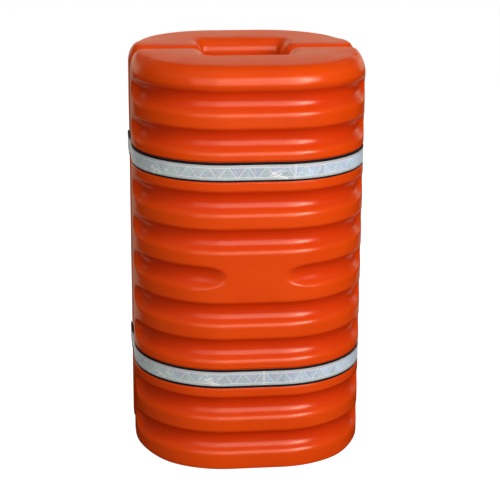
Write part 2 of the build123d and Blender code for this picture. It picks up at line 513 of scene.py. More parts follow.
@dataclass(frozen=True)
class WovenWebbing(Finish):
    """Black polypropylene webbing: warp cords along the strap, bound by a weft that crosses them.

    Attributes:
        yarn: colour at the top of a cord.
        shade: colour between cords.
        dust: colour of the grime.
        cord: width of a warp cord.
        pick: distance between weft threads.
        roundness: power of the sine that a cord's section follows.
        bound: share of a cord's height that the weft presses down.
        lit: share of the yarn's colour at the top of a cord, and how much the fuzz adds to it.
        fuzz: fibres to the metre.
        fuzz_share: depth of the fuzz beside that of the weave.
        grime: spots of grime to the metre.
        dusty: largest share of the grime's colour.
        rough: roughness, and how much the fuzz adds to it.
        relief: depth of the weave.
    """

    NAME = "woven_webbing"
    # Noise between which the grime sets in.
    GRIMY = (0.58, 0.80)

    yarn: Colour = rgb(0.009, 0.009, 0.010)
    shade: Colour = rgb(0.002, 0.002, 0.0025)
    dust: Colour = rgb(0.05, 0.047, 0.045)
    cord: float = 0.0017
    pick: float = 0.0021
    roundness: float = 0.6
    bound: float = 0.45
    lit: tuple[float, float] = (0.65, 0.5)
    fuzz: float = 2600.0
    fuzz_share: float = 0.15
    grime: float = 21.0
    dusty: float = 0.10
    rough: tuple[float, float] = (0.62, 0.25)
    relief: float = 0.0004

    def inputs(self, bench: Bench) -> dict[str, object]:
        """Values and terms of the surface, by socket name."""
        along, across = bench.strip()
        row = (across * (1 / self.cord)).floor()
        ridge = abs((across * (math.pi / self.cord)).sin())
        knot = 0.5 + 0.5 * (along * (2 * math.pi / self.pick) + row * math.pi).sin()
        weave = ridge ** self.roundness * (1 - self.bound + self.bound * knot)
        fuzz = bench.noise(bench.place(), self.fuzz)
        grime = bench.noise(bench.place(), self.grime, detail=3.0).rise(*self.GRIMY)
        base = bench.blend(weave * (self.lit[0] + self.lit[1] * fuzz), self.shade, self.yarn)
        return {
            "Base Color": bench.blend(grime * self.dusty, base, self.dust),
            "Roughness": self.rough[0] + self.rough[1] * fuzz,
            "Specular IOR Level": 0.22,
            "Sheen Weight": 0.03,
            "Sheen Roughness": 0.4,
            "Normal": bench.bump(weave + fuzz * self.fuzz_share, self.relief, strength=0.9),
        }


@dataclass(frozen=True)
class PrismaticTape(Finish):
    """Silver reflective tape: fine prisms in cells that a white sealed lattice keeps apart.

    Attributes:
        period: distance along the tape of one full zigzag of the lattice.
        reach: how far the zigzag would swing from the middle.
        border: distance from the middle at which the plain border starts.
        fade: width over which the cells give way to the border.
        line: half-width of a sealed line.
        blur: half-width of its soft edge.
        rail: distances from the border's start at which its sealed line ends and is whole.
        cut: distances from the tape's end at which the sealed line there ends and is whole.
        prism: size of a prism.
        drifts: changes of tint to the metre.
        sparks: glints to the metre.
        white: colour of the sealed lines.
        flash: colour of the prisms that catch the light.
        white_share: largest share of the lines' colour.
        flash_share: largest share of the flash.
        prism_share: how strongly the prisms differ.
        crease_glint_share: largest share of the glints painted on creases.
        metal: how metallic the cells are.
        rough: roughness, and how much the glints add to it.
        heights: heights of the sealed lines and the glints, in shares of the relief.
        relief: depth of the relief.
    """

    NAME = "prismatic_tape"
    # Places on the scale of tints, and the tints: pale at both ends, for a painted sheen at the sides.
    TINTS_AND_SHEEN = ((0.02, rgb(0.58, 0.68, 0.65)), (0.26, rgb(0.47, 0.53, 0.54)), (0.50, rgb(0.41, 0.45, 0.52)),
             (0.66, rgb(0.46, 0.53, 0.62)), (0.80, rgb(0.58, 0.69, 0.82)), (0.98, rgb(0.67, 0.80, 0.92)))
    # Place on that scale in the middle; what the place across (a painted sheen), the drift and the cell add.
    HUE_AND_SHEEN = (0.20, 1.35, 0.46, 0.12)
    # Colours below and above the zigzag, on the lower and upper border, and of the white and the orange
    # glint painted on creases.
    CELLS = (rgb(0.99, 1.025, 0.985), rgb(1.00, 0.985, 1.02))
    BORDERS = (rgb(0.51, 0.56, 0.55), rgb(0.55, 0.54, 0.56))
    CREASE_GLINTS = (rgb(0.95, 0.96, 0.95), rgb(0.95, 0.80, 0.52))
    # Noise and lift between which a flash, the orange crease glint and any crease glint set in, and two
    # sharp changes.
    FLASHED = (0.52, 0.75)
    ORANGE_GLINTED = (0.50, 0.62)
    CREASED = (0.12, 0.55)
    ZIGZAG_EDGE = (-1e-5, 1e-5)
    BORDER_EDGE = (-0.001, 0.001)

    period: float = 0.0495
    reach: float = 0.0158
    border: float = 0.0124
    fade: float = 0.0004
    line: float = 0.0006
    blur: float = 0.0003
    rail: tuple[float, float] = (0.0008, 0.0003)
    cut: tuple[float, float] = (0.0018, 0.0012)
    prism: float = 0.0024
    drifts: float = 26.0
    sparks: float = 210.0
    white: Colour = rgb(0.88, 0.90, 0.93)
    flash: Colour = rgb(0.74, 0.78, 0.84)
    white_share: float = 0.85
    flash_share: float = 0.35
    prism_share: float = 0.24
    crease_glint_share: float = 0.65
    metal: float = 0.10
    rough: tuple[float, float] = (0.32, 0.16)
    heights: tuple[float, float] = (1.2, 0.5)
    relief: float = 0.00016

    def inputs(self, bench: Bench) -> dict[str, object]:
        """Values and terms of the surface, by socket name."""
        along, across = bench.strip()
        half = self.period / 2
        swing = (along.zigzag(half) * (1 / half) - 0.5) * (2 * self.reach)
        lean = math.cos(math.atan(2 * self.reach / half))
        inside = abs(across).rise(self.border, self.border - self.fade)
        away = abs(across - swing) * lean
        seal = away.rise(self.line + self.blur, self.line - self.blur) * inside
        rail = abs(abs(across) - self.border).rise(*self.rail)
        white = seal.larger(rail).larger(bench.layer(END_GAP).rise(*self.cut))

        upper = (across - swing).rise(*self.ZIGZAG_EDGE)
        cell = (along * (1 / half)).floor() * 2 + upper
        dice = bench.term("ShaderNodeTexWhiteNoise", {"noise_dimensions": "1D"}, {"W": cell}, "Value")
        point = bench.place()
        side = bench.axes(point)[0]
        drift = bench.noise(point, self.drifts, detail=3.0, rough=0.6)
        spark = bench.noise(point, self.sparks, detail=3.0, rough=0.7)
        middle, painted_sheen_by_side, by_drift, by_cell = self.HUE_AND_SHEEN
        # Painted sheen: the place across moves the tint to the pale ends of the scale at the left and right.
        tint_and_sheen = middle + side * painted_sheen_by_side + drift * by_drift + dice * by_cell
        tint = bench.term("ShaderNodeValToRGB", {"stops": self.TINTS_AND_SHEEN}, {"Fac": tint_and_sheen}, "Color")
        tint = bench.blend(1.0, tint, bench.blend(upper, *self.CELLS), "MULTIPLY")
        sizes = {"Vector": point, "Scale": 1 / self.prism}
        fleck = bench.term("ShaderNodeTexVoronoi", None, sizes, "Color")
        base = bench.blend(self.prism_share, tint, fleck, "OVERLAY")
        base = bench.blend(spark.rise(*self.FLASHED) * self.flash_share, base, self.flash)
        border = bench.blend(across.rise(*self.BORDER_EDGE), *self.BORDERS)
        base = bench.blend(1 - inside, base, border)
        base = bench.blend(white * self.white_share, base, self.white)
        # Painted glints: creases turn white, or orange like a reflection of the moulding where sparks are
        # strong.
        crease = bench.layer(CREASE).rise(*self.CREASED) * self.crease_glint_share
        relief = white * self.heights[0] + spark * self.heights[1]
        return {
            "Base Color": bench.blend(crease, base, bench.blend(spark.rise(*self.ORANGE_GLINTED), *self.CREASE_GLINTS)),
            "Metallic": self.metal * (1 - white),
            "Roughness": self.rough[0] + self.rough[1] * spark,
            "Coat Weight": 0.35,
            "Coat Roughness": 0.12,
            "Sheen Weight": 0.30,
            "Sheen Roughness": 0.35,
            "Normal": bench.bump(relief, self.relief, strength=0.55),
        }


@dataclass(frozen=True)
class LoopPile(Finish):
    """Soft black loop pile.

    Attributes:
        fibre: colour of the loops.
        gap: colour between them.
        curls: loops to the metre.
        tufts: tufts of loops to the metre.
        rough: roughness, and how much the loops add to it.
        relief: height of the loops.
    """

    NAME = "loop_pile"
    # Noise between which a loop stands out.
    CURLED = (0.35, 0.70)

    fibre: Colour = rgb(0.030, 0.030, 0.033)
    gap: Colour = rgb(0.005, 0.005, 0.006)
    curls: float = 1100.0
    tufts: float = 420.0
    rough: tuple[float, float] = (0.85, 0.1)
    relief: float = 0.0006

    def inputs(self, bench: Bench) -> dict[str, object]:
        """Values and terms of the surface, by socket name."""
        curl = bench.noise(bench.place(), self.curls, detail=4.0, rough=0.65)
        tuft = bench.noise(bench.place(), self.tufts, detail=3.0)
        return {
            "Base Color": bench.blend(curl.rise(*self.CURLED), self.gap, self.fibre),
            "Roughness": self.rough[0] + self.rough[1] * curl,
            "Sheen Weight": 0.4,
            "Sheen Roughness": 0.5,
            "Normal": bench.bump(curl + tuft, self.relief, strength=0.9),
        }


@dataclass(frozen=True)
class HookSheet(Finish):
    """Black sheet of moulded hooks.

    Attributes:
        nylon: colour of the hooks.
        base: colour of the ground between them.
        pitch: distance between hooks.
        specks: specks to the metre.
        lit: share of the hooks' colour at their tops, and how much the specks add to it.
        rough: roughness, and how much the specks add to it.
        relief: height of the hooks.
    """

    NAME = "hook_sheet"

    nylon: Colour = rgb(0.028, 0.028, 0.031)
    base: Colour = rgb(0.006, 0.006, 0.007)
    pitch: float = 0.0016
    specks: float = 1500.0
    lit: tuple[float, float] = (0.6, 0.6)
    rough: tuple[float, float] = (0.42, 0.2)
    relief: float = 0.0005

    def inputs(self, bench: Bench) -> dict[str, object]:
        """Values and terms of the surface, by socket name."""
        along, across = bench.strip()
        rows = abs((across * (math.pi / self.pitch)).sin())
        hooks = rows * abs((along * (math.pi / self.pitch)).sin())
        speck = bench.noise(bench.place(), self.specks)
        return {
            "Base Color": bench.blend(hooks * (self.lit[0] + self.lit[1] * speck), self.base, self.nylon),
            "Roughness": self.rough[0] + self.rough[1] * speck,
            "Normal": bench.bump(hooks, self.relief, strength=0.8),
        }


@dataclass(frozen=True)
class SewingThread(Finish):
    """Twisted grey sewing thread.

    Attributes:
        light: colour of a ply.
        dark: colour between plies.
        twist: distance along the thread of one ply.
        slant: how steeply the plies lie.
        lint: fibres to the metre.
        rough: roughness, and how much the lint adds to it.
        relief: depth between plies.
    """

    NAME = "sewing_thread"

    light: Colour = rgb(0.42, 0.43, 0.45)
    dark: Colour = rgb(0.20, 0.20, 0.22)
    twist: float = 0.0006
    slant: float = 0.8
    lint: float = 3000.0
    rough: tuple[float, float] = (0.55, 0.25)
    relief: float = 0.0001

    def inputs(self, bench: Bench) -> dict[str, object]:
        """Values and terms of the surface, by socket name."""
        along, across = bench.strip()
        ply = 0.5 + 0.5 * ((along + across * self.slant) * (2 * math.pi / self.twist)).sin()
        lint = bench.noise(bench.place(), self.lint)
        return {
            "Base Color": bench.blend(ply, self.dark, self.light),
            "Roughness": self.rough[0] + self.rough[1] * lint,
            "Normal": bench.bump(ply, self.relief, strength=0.6),
        }


@dataclass
class Piece:
    """Mesh in the making: points, four-cornered faces with their map, and larger flat faces.

    Attributes:
        name: the piece's name.
        points: places of the vertices, one row each.
        quads: vertex numbers, four to a row.
        quad_map: map places of the quads' corners, in the same order.
        flats: vertex numbers of faces with more corners.
        layers: numbers held at the vertices, by name.
    """

    name: str
    points: np.ndarray
    quads: np.ndarray
    quad_map: np.ndarray
    flats: Sequence[np.ndarray] = ()
    layers: dict[str, np.ndarray] | None = None

    def mirrored(self) -> Piece:
        """Same piece reflected from front to rear, its faces turned to look outwards again."""
        return replace(self, points=self.points * np.array([1.0, -1.0, 1.0]), quads=self.quads[:, ::-1],
                       quad_map=self.quad_map[:, ::-1], flats=[flat[::-1] for flat in self.flats])

    def build(self, material: bpy.types.Material, slot: str) -> bpy.types.Object:
        """Make the object.

        Args:
            material: its finish.
            slot: the record's material slot, which is not used.

        Returns:
            The object, at the origin and not yet riding on a body.
        """
        mesh = bpy.data.meshes.new(self.name)
        mesh.from_pydata(self.points, [], [*self.quads.tolist(), *(flat.tolist() for flat in self.flats)])
        corners = np.zeros((len(mesh.loops), 2))
        corners[:self.quads.size] = self.quad_map.reshape(-1, 2)
        mesh.uv_layers.new(name=UV_NAME).data.foreach_set("uv", corners.ravel())
        for layer, values in (self.layers or {}).items():
            mesh.attributes.new(layer, "FLOAT", "POINT").data.foreach_set("value", values.ravel())
        mesh.polygons.foreach_set("use_smooth", np.ones(len(mesh.polygons), bool))
        mesh.set_sharp_from_angle(angle=SHARP_ANGLE)
        mesh.materials.append(material)
        item = bpy.data.objects.new(self.name, mesh)
        bpy.context.scene.collection.objects.link(item)
        LOG.info("%s: %d faces", self.name, len(mesh.polygons))
        return item


def lattice(rows: int, columns: int) -> tuple[np.ndarray, np.ndarray, np.ndarray]:
    """Faces between neighbouring points of a grid whose rows are closed rings, numbered row by row.

    Args:
        rows: number of rows.
        columns: number of points in a row.

    Returns:
        Vertex numbers of the faces, and the row and the unwrapped column of each of their corners.
    """
    row, column = np.meshgrid(np.arange(rows - 1), np.arange(columns), indexing="ij")
    row = row.ravel()[:, None] + np.array([0, 1, 1, 0])
    column = column.ravel()[:, None] + np.array([0, 0, 1, 1])
    return row * columns + column % columns, row, column


@dataclass(frozen=True)
class MouldedHalf:
    """One hollow ribbed half: its plan, its ribs, its strap seats and its rounded edges.

    Attributes:
        half_width: from the middle plane to the side.
        seam_y: place of the seam face.
        front_y: place of the front.
        channel_y: place of the channel's back wall.
        channel_half: half of the channel's width.
        height: whole height.
        corner_r: plan radius of the front corners.
        seam_r: plan radius where the side meets the seam face.
        mouth_r: plan radius of the channel's mouth.
        channel_r: plan radius of the channel's inner corners.
        top_r: rounding of the top edge round the outside.
        side_top: how far down that rounding reaches at the sides.
        seam_top_r: rounding of the top edge along the seam.
        channel_top_r: the same along the channel.
        crown: how far the top falls towards its outer edge.
        crown_reach: width of that fall.
        foot_r: rounding of the bottom edge at the front and inside.
        side_foot: the same at the sides.
        valley_r: radius of the trough of a valley.
        brow_r: radius of its upper lip.
        lip_r: radius of its lower lip.
        flank: steepest angle of its lower flank, in degrees.
        runout_r: radius on which a valley veers out of the surface at the side.
        side_stop: corner angle before the side at which it starts to veer, in degrees.
        panel_runout_r: radius on which it veers out beside the bare front panel.
        panel_stop: corner angle before the side at which that starts, in degrees.
        seat_half: half of the flat of a strap seat.
        seat_depth: depth of a strap seat.
        wave: depth of the slight unevenness of the moulding.
        ridge: height of the parting line.
        top_blend: distance before the sides over which the top's rounding reaches further down.
        seam_blend: distance before the sides from which it narrows towards the seam.
        foot_blend: shares of the way to the sides between which the foot's rounding grows.
        rim: least width of the flat beside a rounding.
        end_soft: largest rounding of a valley's edge where it runs out.
        end_share: that rounding as a share of the lift there.
        seat_slope: where a seat's edge starts and ends, from the end of its flat.
        seat_soft: rounding of a seat's end at the seam.
        rib_soft: rounding where ribs meet the top's and the foot's rounding.
    """

    # Heights of the valleys that go right across, and of the one that stops at the bare panel.
    VALLEYS = (0.9803, 0.8829, 0.7238, 0.6264, 0.4316, 0.3342, 0.1751, 0.0777)
    MIDDLE_VALLEY = 0.529
    # Largest share of a run-out's radius that is followed.
    VEER_REACH = 0.42
    # Height and radius of the vent, half of the block cut for it in radii, how far a point of its wall may
    # lie off, and the vent's rings: radius as a share of its own, and depth.
    VENT = (0.060, 0.005)
    VENT_BLOCK = 3.2
    WALL_OFF = 0.0015
    VENT_RINGS = ((1.25, 0.0), (1.06, 0.0003), (1.0, 0.0010), (1.0, 0.0140))
    # Unevenness: middle and swing of its depth, and its pairs of crossed waves: the share of a pair, and the
    # wave numbers along X, Y and Z and the phase of each wave.
    WAVE_MIDDLE, WAVE_SWING = 0.5, 0.29
    WAVES = ((1.0, (31.0, 0.0, 9.0), 0.4, (0.0, 17.0, 23.0), 1.1),
             (0.7, (0.0, 47.0, -13.0), 2.0, (41.0, 0.0, 29.0), 0.0))
    # Largest gaps between columns on each move of the plan, columns at the parting line, and the room to
    # either side of it that they take.
    COLUMN_GAPS = (0.0066, 0.0062, 0.0052, 0.0062, 0.03, 0.0065, 0.02, 0.005, 0.0089)
    LINE_COLUMNS = (-0.0013, -0.0005, 0.0, 0.0005, 0.0013)
    LINE_ROOM = 0.002
    # Numbers of rows, how far below the top's rounding those of the wall end, the heights from a seat's
    # middle between which its edge has rows of its own, and the room that these keep.
    WALL_ROWS, SEAT_ROWS, TOP_ROWS, CROWN_ROWS, FOOT_ROWS = 288, 9, 24, 9, 9
    WALL_END = 0.002
    SEAT_EDGE = (0.0255, 0.0305)
    SEAT_ROOM = 0.0007
    # Painted shade of the valleys, for the plastic's colour: share of the depth and of the overhang, the
    # slope of a whole overhang, and the least rise between rows that a slope is taken over.
    SHADE_SHARE = 0.6
    STEEP = 1.6
    LEAST_RISE = 1e-5

    half_width: float = 0.3048
    seam_y: float = -0.015
    front_y: float = -0.3198
    channel_y: float = -0.1166
    channel_half: float = 0.1032
    height: float = 1.0668
    corner_r: float = 0.239
    seam_r: float = 0.040
    mouth_r: float = 0.040
    channel_r: float = 0.006
    top_r: float = 0.046
    side_top: float = 0.055
    seam_top_r: float = 0.027
    channel_top_r: float = 0.038
    crown: float = 0.0022
    crown_reach: float = 0.090
    foot_r: float = 0.006
    side_foot: float = 0.018
    valley_r: float = 0.031
    brow_r: float = 0.009
    lip_r: float = 0.021
    flank: float = 50.0
    runout_r: float = 0.180
    side_stop: float = 19.5
    panel_runout_r: float = 0.600
    panel_stop: float = 69.0
    seat_half: float = 0.0265
    seat_depth: float = 0.0025
    wave: float = 0.0003
    ridge: float = 0.0003
    top_blend: float = 0.14
    seam_blend: float = 0.08
    foot_blend: tuple[float, float] = (0.5, 0.8)
    rim: float = 0.001
    end_soft: float = 0.0032
    end_share: float = 0.7
    seat_slope: tuple[float, float] = (-0.0004, 0.0031)
    seat_soft: float = 0.0002
    rib_soft: float = 0.0008

    @property
    def corner_y(self) -> float:
        """Place where the front corner becomes the straight side."""
        return self.front_y + self.corner_r

    @property
    def front_flat(self) -> float:
        """Half of the flat of the front."""
        return self.half_width - self.corner_r

    @property
    def side_start(self) -> float:
        """Distance round the outline from the front's middle to the straight side."""
        return self.front_flat + self.corner_r * math.pi / 2

    def plan(self) -> Route:
        """Closed outline of the half, from the front's middle to the right and round the channel."""
        right = [
            Move(self.front_flat),
            bend(self.corner_r, 90),
            Move(self.seam_y - self.seam_r - self.corner_y),
            bend(self.seam_r, 90),
            Move(self.half_width - self.seam_r - self.channel_half - self.mouth_r),
            bend(self.mouth_r, 90),
            Move(self.seam_y - self.mouth_r - self.channel_y - self.channel_r),
            bend(self.channel_r, -90),
            Move(self.channel_half - self.channel_r),
        ]
        return Route((0.0, self.front_y), 0.0, [*right, *reversed(right)])

    def columns(self, plan: Route) -> np.ndarray:
        """Stations of the grid's columns, close together on the ribs and beside the parting line."""
        even = plan.divide([*self.COLUMN_GAPS, *reversed(self.COLUMN_GAPS)])
        lines = np.array([plan.starts[3], plan.length - plan.starts[3]])
        extra = (lines[:, None] + np.array(self.LINE_COLUMNS)).ravel()
        near = np.abs(even[:, None] - lines).min(axis=1) < self.LINE_ROOM
        return np.sort(np.concatenate((even[~near], extra)))

    def heights(self) -> np.ndarray:
        """Heights of the grid's rows on the wall, with more of them at the edges of the seats."""
        last = self.height - self.side_top - self.crown - self.WALL_END
        even = np.linspace(self.side_foot, last, self.WALL_ROWS)
        seats = np.array([level.value for level in Level])
        edge = np.linspace(*self.SEAT_EDGE, self.SEAT_ROWS)
        extra = (seats[:, None] + np.concatenate((edge, -edge))).ravel()
        near = np.abs(even[:, None] - extra).min(axis=1) < self.SEAT_ROOM
        return np.sort(np.concatenate((even[~near], extra)))

    def lift(self, past: np.ndarray, radius: float) -> np.ndarray:
        """How far a valley's path has veered out of the surface.

        The surface is an arc of the corner's radius and the path an arc of the run-out's radius that leaves
        it outwards, so the lift is where the surface's normal meets the path's circle.

        Args:
            past: distance along the surface past the point where the path starts to veer.
            radius: the run-out's radius.

        Returns:
            Distance along the normal from the surface to the path, zero before that point.
        """
        turn = np.clip(past, 0.0, self.VEER_REACH * radius) / self.corner_r
        sine, cosine = np.sin(turn), np.cos(turn)
        across = self.corner_r * sine
        down = -self.corner_r * (1 - cosine) - radius
        facing = across * sine + down * cosine
        return -facing - np.sqrt(np.maximum(facing ** 2 - across ** 2 - down ** 2 + radius ** 2, 0))

    def trough(self, up: np.ndarray) -> np.ndarray:
        """Depth of a whole valley: a round trough, its flanks met by a tight upper and a wider lower lip.

        Args:
            up: height above the valley's middle.

        Returns:
            Depth below the skin, zero beyond the lips.
        """
        lip = np.where(up > 0, self.brow_r, self.lip_r)
        depth = (self.valley_r + self.lip_r) * (1 - math.cos(math.radians(self.flank)))
        flank = np.arccos(1 - depth / (self.valley_r + lip))
        reach = (self.valley_r + lip) * np.sin(flank)
        away = np.abs(up)
        inner = depth - self.valley_r + np.sqrt(np.maximum(self.valley_r ** 2 - away ** 2, 0))
        outer = lip - np.sqrt(np.maximum(lip ** 2 - np.maximum(reach - away, 0) ** 2, 0))
        return np.where(away < self.valley_r * np.sin(flank), inner, np.where(away < reach, outer, 0.0))

    def relief(self, around: np.ndarray, inside: np.ndarray, z: np.ndarray) -> np.ndarray:
        """Depth of the ribs and seats below the plain form.

        Args:
            around: distance of each column from the front's middle.
            inside: how far each column lies inside the line of the straps.
            z: height of each row and column.

        Returns:
            Depth at each row and column.
        """
        stop = self.side_start - self.corner_r * math.radians(self.side_stop)
        panel = self.side_start - self.corner_r * math.radians(self.panel_stop)
        side = self.lift(around - stop, self.runout_r)
        middle = side + self.lift(panel - around, self.panel_runout_r)
        valleys = np.concatenate((self.VALLEYS, [self.MIDDLE_VALLEY]))
        lifts = np.stack([side] * len(self.VALLEYS) + [middle])
        cut = self.trough(z[..., None] - valleys) - lifts.T
        depth = smooth_floor(cut, np.minimum(self.end_soft, self.end_share * lifts.T)).max(axis=2)
        away = np.abs(z[..., None] - np.array([level.value for level in Level])).min(axis=-1)
        first, last = self.seat_slope
        seat = self.seat_depth * (1 - ease(away, self.seat_half + first, self.seat_half + last))
        return depth + smooth_floor(seat - inside, self.seat_soft * (inside > 0))

    def unevenness(self, points: np.ndarray) -> np.ndarray:
        """Slight waves of a blown skin, always inwards: products of two crossed sine waves, added up."""
        swell = np.zeros(points.shape[:-1])
        for share, first, first_phase, second, second_phase in self.WAVES:
            swell += share * np.sin(points @ first + first_phase) * np.sin(points @ second + second_phase)
        return self.wave * (self.WAVE_MIDDLE + self.WAVE_SWING * swell)

    def rows(self, plan: Route, around: np.ndarray) -> tuple[np.ndarray, np.ndarray]:
        """Height and inset of every row at every column, without ribs.

        The foot is rounded by a quarter circle. The rounding of the top is a part of an ellipse that meets
        the slight fall of the crown, a parabola.

        Args:
            plan: outline of the half.
            around: distance of each column from the front's middle.

        Returns:
            The heights and the insets, from the flat foot up the wall to the flat top.
        """
        seam = ease(around, plan.starts[3], plan.starts[4])
        gape = ease(around, plan.starts[5], plan.starts[6])
        inner = ease(around, self.side_start - self.seam_blend, plan.starts[3])
        taller = ease(around, self.side_start - self.top_blend, self.side_start)
        edge_r = self.seam_top_r + (self.channel_top_r - self.seam_top_r) * gape
        rounding = self.top_r + (edge_r - self.top_r) * inner
        drop = self.top_r + (self.side_top - self.top_r) * taller
        drop += (edge_r - drop) * seam
        crown = self.crown * (1 - inner)
        reach = self.crown_reach * (1 - inner) + self.rim
        end = np.pi / 2 - np.arctan2(2 * crown * rounding, reach * drop)
        turn = np.linspace(0, 1, self.TOP_ROWS)[:, None] * end
        past = np.linspace(0, 1, self.CROWN_ROWS)[1:, None]
        first, last = self.foot_blend
        sides = ease(around, first * self.side_start, last * self.side_start) * (1 - seam)
        foot = self.foot_r + (self.side_foot - self.foot_r) * sides
        low = np.linspace(0, np.pi / 2, self.FOOT_ROWS)[:-1, None]
        wall = self.heights()[:, None] * np.ones(len(around))
        z = np.concatenate((
            np.zeros((1, len(around))),
            foot * (1 - np.cos(low)),
            wall,
            self.height - crown - drop * (np.sin(end) - np.sin(turn)),
            self.height - crown * (1 - past) ** 2,
        ))
        inset = np.concatenate((
            foot[None] + self.rim,
            foot * (1 - np.sin(low)),
            0 * wall,
            rounding * (1 - np.cos(turn)),
            rounding * (1 - np.cos(end)) + reach * past,
        ))
        return z, inset

    def shade(self, ribs: np.ndarray, z: np.ndarray) -> np.ndarray:
        """How far each point lies in a valley's shade, between 0 and 1: the share of painted shade.

        Args:
            ribs: depth of the ribs at each row and column.
            z: height there.

        Returns:
            A share of the depth over a whole valley's, and the same share of the skin's overhang.
        """
        fall = -np.gradient(ribs, axis=0) / np.maximum(np.gradient(z, axis=0), self.LEAST_RISE)
        overhang = np.clip(fall / self.STEEP, 0.0, 1.0)
        return np.clip(self.SHADE_SHARE * (ribs / self.trough(np.zeros(1)) + overhang), 0.0, 1.0)

    def piece(self, half: Half) -> Piece:
        """Skin of a half as one closed grid: foot, wall and top rows over all columns of the plan.

        A row is the plan set in by the row's rounding and by the ribs, and a flat top and foot close the
        grid.

        Args:
            half: which half.

        Returns:
            The piece, turned half a turn for the rear.
        """
        plan = self.plan()
        stations = self.columns(plan)
        columns = len(stations)
        base, outward = plan.at(stations)
        around = np.minimum(stations, plan.length - stations)
        inside = np.where(around <= plan.starts[3], 0.0, self.half_width - np.abs(base[:, 0]))
        z, inset = self.rows(plan, around)
        ribs = self.relief(around, inside, z)
        depth = inset + smooth_floor(ribs - inset, np.minimum(self.rib_soft, inset))
        points = np.empty((*z.shape, 3))
        points[..., :2] = base - outward * depth[..., None]
        points[..., 2] = z
        waves = self.unevenness(points) - self.ridge * (np.abs(around - plan.starts[3]) < TINY)
        points[1:-1, :, :2] -= outward * waves[1:-1, :, None]

        faces, row, column = (numbers[:, ::-1] for numbers in lattice(len(z), columns))
        ring = np.arange(columns)
        points, kept, vent, floor = self.cut_vent(points.reshape(-1, 3), faces)
        spread = np.append(stations, plan.length)
        places = np.stack((spread[column], z[row, column % columns]), axis=-1)[kept]
        return Piece(
            f"{half.name.lower()}_half_skin",
            points * np.array([half.value, half.value, 1.0]),
            np.concatenate((faces[kept], vent)),
            np.concatenate((places, np.zeros((*vent.shape, 2)))),
            [ring[::-1], ring + (len(z) - 1) * columns, floor],
            # The valleys' painted shade, kept at the vertices.
            {VALLEY_SHADE: np.append(self.shade(ribs, z), np.zeros(len(points) - z.size))},
        )

    def cut_vent(self, points: np.ndarray, faces: np.ndarray) -> tuple[np.ndarray, ...]:
        """Open the vent in the channel's back wall.

        The faces round the vent go, and rings of points lead from the edge of their block to a round lip
        and down a blind bore.

        Args:
            points: the skin's points.
            faces: its faces.

        Returns:
            The points with the vent's rings added, which faces stay, the vent's own faces, and its floor.
        """
        height, radius = self.VENT
        reach = self.VENT_BLOCK * radius
        on_wall = np.abs(points[:, 1] - self.channel_y) < self.WALL_OFF
        near = on_wall & (np.abs(points[:, 0]) < reach) & (np.abs(points[:, 2] - height) < reach)
        kept = ~near[faces].all(axis=1)
        edge = np.intersect1d(faces[kept], faces[~kept])
        angle = np.arctan2(points[edge, 2] - height, -points[edge, 0])
        order = np.argsort(angle)
        edge, angle = edge[order], angle[order]
        share, deep = np.array(self.VENT_RINGS).T[..., None]
        rings = np.empty((len(share), len(edge), 3))
        rings[..., 0] = -share * radius * np.cos(angle)
        rings[..., 1] = self.channel_y - deep
        rings[..., 2] = height + share * radius * np.sin(angle)
        fresh = len(points) + np.arange(rings[..., 0].size).reshape(rings.shape[:2])
        numbers = np.concatenate((edge[None], fresh))
        following = np.roll(numbers, -1, axis=1)
        quads = np.stack((numbers[:-1], following[:-1], following[1:], numbers[1:]), axis=-1).reshape(-1, 4)
        return np.concatenate((points, rings.reshape(-1, 3))), kept, quads, numbers[-1]


def flat_section(width: float, thickness: float, across: int, around: int = 7) -> np.ndarray:
    """Section of a strip with rounded edges, starting up its outer face.

    Args:
        width: whole width.
        thickness: whole thickness, which is also the edges' diameter.
        across: points on each face.
        around: points round each edge, the faces' last ones among them.

    Returns:
        Distances out and up from the strip's middle, one row each.
    """
    radius = thickness / 2
    face = np.linspace(-1, 1, across) * (width / 2 - radius)
    turn = np.linspace(0, np.pi, around)[1:-1]
    top = np.stack((radius * np.cos(turn), width / 2 - radius + radius * np.sin(turn)), axis=-1)
    outer = np.stack((np.full(across, radius), face), axis=-1)
    return np.concatenate((outer, top, -outer, -top))


def ribbon(name: str, route: Route, height: float, section: np.ndarray, step: float,
           relief: Callable[[np.ndarray, np.ndarray], np.ndarray] | None = None,
           start: float = 0.0) -> Piece:
    """Strip whose section is carried along a route and closed at both ends.

    Args:
        name: the piece's name.
        route: middle line of the strip.
        height: height of the strip's middle.
        section: distances out and up.
        step: distance between the points along the route.
        relief: function of the distance along and across that gives a lift out of the outer face.
        start: distance along that its map starts from.

    Returns:
        The piece.
    """
    stations = np.linspace(0.0, route.length, max(2, math.ceil(route.length / step)))
    points, outward = route.at(stations)
    lift = np.zeros((len(stations), len(section)))
    if relief is not None:
        lift = relief(stations[:, None], section[None, :, 1]) * (section[:, 0] > 0)
    out = section[None, :, 0] + lift
    grid = np.empty((len(stations), len(section), 3))
    grid[..., :2] = points[:, None, :] + outward[:, None, :] * out[..., None]
    grid[..., 2] = height + section[:, 1]
    faces, row, column = lattice(len(stations), len(section))
    girth = np.linalg.norm(np.diff(np.concatenate((section, section[:1])), axis=0), axis=1)
    around = np.concatenate(([0.0], np.cumsum(girth))) + section[0, 1]
    places = np.stack((stations[row] + start, around[column]), axis=-1)
    ring = np.arange(len(section))
    ends = [ring, ring[::-1] + (len(stations) - 1) * len(section)]
    gap = np.minimum(stations, route.length - stations)[:, None] + np.zeros(len(section))
    layers = {END_GAP: gap, CREASE: np.clip(lift / CREASE_HEIGHT, 0, 1)}
    return Piece(name, grid.reshape(-1, 3), faces, places, ends, layers)


